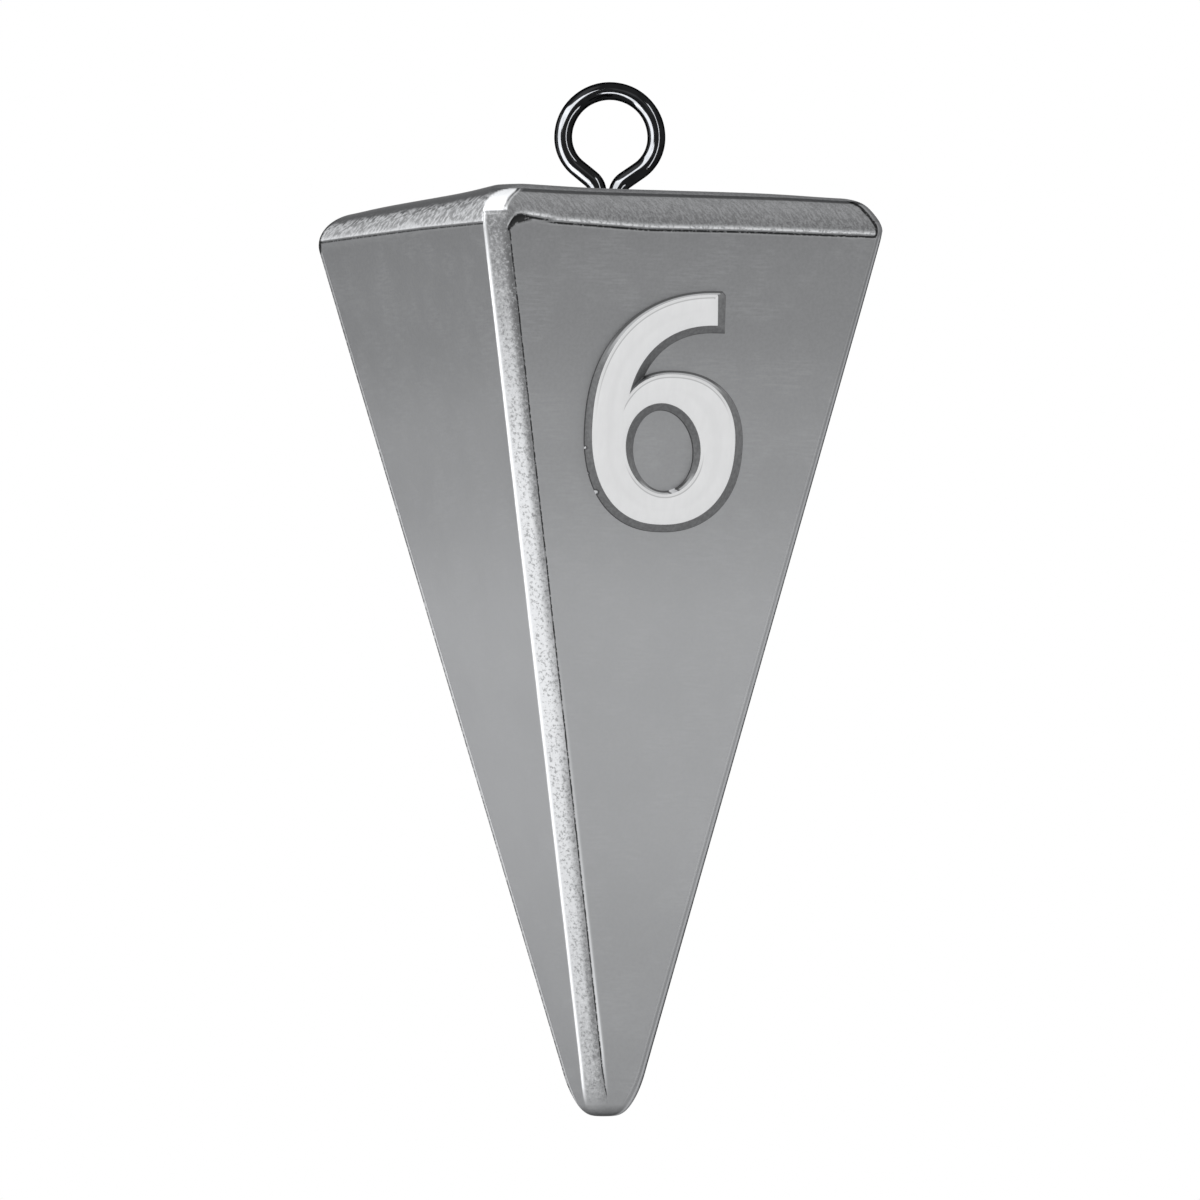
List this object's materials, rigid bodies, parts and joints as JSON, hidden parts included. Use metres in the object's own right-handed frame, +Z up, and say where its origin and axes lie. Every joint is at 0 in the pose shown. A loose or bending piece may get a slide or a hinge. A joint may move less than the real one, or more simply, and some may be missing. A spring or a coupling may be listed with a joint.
{
  "type": "pyramid fishing sinker",
  "caption": "Square lead pyramid sinker that hangs point down from a bent wire line eye, with its weight as a raised white numeral on one side.",
  "frame": {"origin": "middle of the wire eye", "axes": "+Z up along the sinker towards its eye, with the point down; -Y out of the side that carries the numeral; +X to the right as that side is read"},
  "size_m": [0.0262, 0.0262, 0.0626],
  "materials": {
    "lead": "satin die-cast lead, a little grained, burnished on the edges and the rim",
    "wire": "polished black-nickelled steel wire",
    "enamel": "satin white enamel"
  },
  "bodies": {
    "root": {"lead_body": "lead", "wire_eye": "wire", "numeral_enamel": "enamel"}
  },
  "joints": []
}
